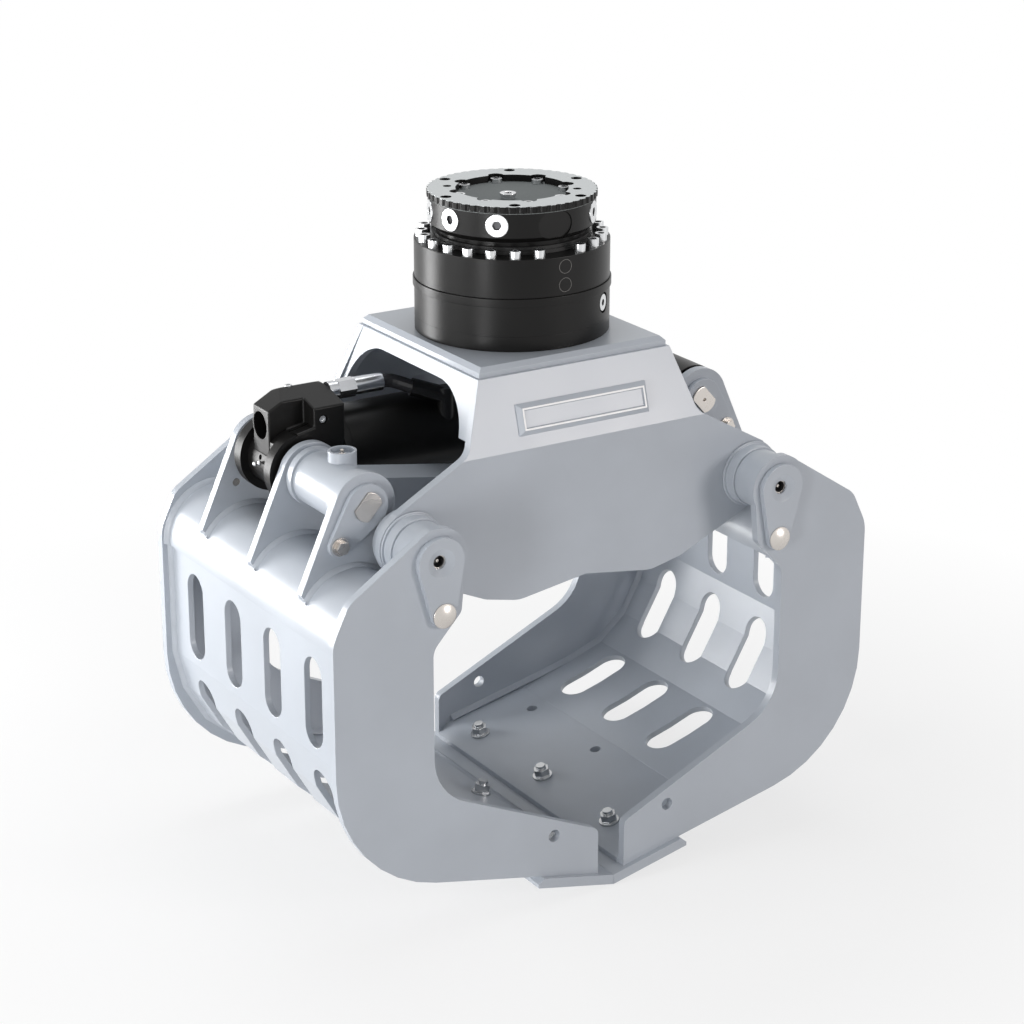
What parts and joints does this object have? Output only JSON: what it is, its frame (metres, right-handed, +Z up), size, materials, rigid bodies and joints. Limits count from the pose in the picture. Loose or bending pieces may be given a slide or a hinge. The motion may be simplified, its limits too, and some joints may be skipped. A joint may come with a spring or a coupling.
{
  "type": "demolition grapple",
  "caption": "Hydraulic demolition and sorting grapple: flange-mounted rotator, bent-plate frame and two perforated jaws closed by one cylinder and a crossed synchronising link.",
  "frame": {"origin": "centre of the top flange's upper face, where the grapple bolts to its hanger", "axes": "+Z up through the flange, +X along the line between the jaw pivots, -Y the front with the bare name plate"},
  "size_m": [0.958, 0.6138, 1.0479],
  "materials": {
    "paint": "semi-gloss pale blue-grey machine paint",
    "satin_black": "satin black coating",
    "bright_steel": "bright zinc-plated steel",
    "nickel": "warm nickel-grey machined steel",
    "bronze": "plain bearing bronze",
    "rubber": "matt black seal",
    "hose_rubber": "smooth black hose cover"
  },
  "bodies": {
    "rotator_head": {"rotator_head": "satin_black", "head_plugs": "bright_steel", "recess_screws": "bright_steel", "centre_plug": "bright_steel", "neck_seal": "rubber", "swivel_core": "bright_steel", "fixed_gear": "bright_steel"},
    "slewing_balls": {"slew_balls": "bright_steel"},
    "grapple_frame": {"upper_housing": "satin_black", "joint_band": "satin_black", "lower_housing": "satin_black", "base_ring": "satin_black", "housing_screws": "bright_steel", "housing_plug": "bright_steel", "drive_motor": "satin_black", "top_plate": "paint", "front_plate": "paint", "rear_plate": "paint", "left_end_plate": "paint", "right_end_plate": "paint", "pivot_bosses": "paint", "pivot_bushes": "bronze"},
    "motor_pinion": {"motor_pinion": "bright_steel"},
    "left_jaw": {"left_front_side": "paint", "left_rear_side": "paint", "left_shell": "paint", "left_lip": "paint", "left_blade": "paint", "left_blade_bolts": "nickel", "left_beam": "paint", "left_levers": "paint", "left_lever_pin": "nickel", "left_keepers": "paint", "left_keeper_bolts": "nickel", "left_pivot_pins": "nickel"},
    "right_jaw": {"right_front_side": "paint", "right_rear_side": "paint", "right_shell": "paint", "right_lip": "paint", "right_blade": "paint", "right_blade_bolts": "nickel", "right_beam": "paint", "right_levers": "paint", "right_lever_pin": "nickel", "right_keepers": "paint", "right_keeper_bolts": "nickel", "right_pivot_pins": "nickel", "right_link_lugs": "paint"},
    "cylinder": {"cylinder_head": "satin_black", "cylinder_barrel": "satin_black", "cylinder_gland": "satin_black", "hose_fittings": "bright_steel", "cylinder_hose": "hose_rubber"},
    "piston_rod": {"piston_rod": "satin_black", "piston": "bright_steel"},
    "sync_link": {"sync_link": "paint", "link_pin": "nickel"}
  },
  "joints": [
    {"name": "slewing", "type": "hinge", "parent": "rotator_head", "child": "grapple_frame", "pos_m": [0, 0, -0.105], "axis": [0, 0, 1], "continuous": true},
    {"name": "ball_race", "type": "hinge", "parent": "rotator_head", "child": "slewing_balls", "pos_m": [0, 0, -0.105], "axis": [0, 0, 1], "continuous": true},
    {"name": "pinion_spin", "type": "hinge", "parent": "grapple_frame", "child": "motor_pinion", "pos_m": [0.09, 0, -0.132], "axis": [0, 0, 1], "continuous": true},
    {"name": "left_jaw_opening", "type": "hinge", "parent": "grapple_frame", "child": "left_jaw", "pos_m": [-0.305, 0, -0.451], "axis": [0, 1, 0], "range_deg": [0, 60]},
    {"name": "right_jaw_opening", "type": "hinge", "parent": "grapple_frame", "child": "right_jaw", "pos_m": [0.305, 0, -0.451], "axis": [0, 1, 0], "range_deg": [-60, 0]},
    {"name": "cylinder_swing", "type": "hinge", "parent": "left_jaw", "child": "cylinder", "pos_m": [-0.357, 0, -0.3925], "axis": [0, 1, 0], "range_deg": [-60, 0]},
    {"name": "rod_swing", "type": "hinge", "parent": "right_jaw", "child": "piston_rod", "pos_m": [0.357, 0, -0.3925], "axis": [0, 1, 0], "range_deg": [0, 60]},
    {"name": "link_swing", "type": "hinge", "parent": "left_jaw", "child": "sync_link", "pos_m": [-0.357, 0, -0.3925], "axis": [0, 1, 0], "range_deg": [-54.6, 0]}
  ],
  "couplings": [
    {"joint": "ball_race", "follows": "slewing", "ratio": 0.5},
    {"joint": "pinion_spin", "follows": "slewing", "ratio": 4},
    {"joint": "right_jaw_opening", "follows": "left_jaw_opening", "ratio": -1},
    {"joint": "cylinder_swing", "follows": "left_jaw_opening", "ratio": -1},
    {"joint": "rod_swing", "follows": "left_jaw_opening", "ratio": 1},
    {"joint": "link_swing", "follows": "left_jaw_opening", "ratio": -0.91}
  ]
}
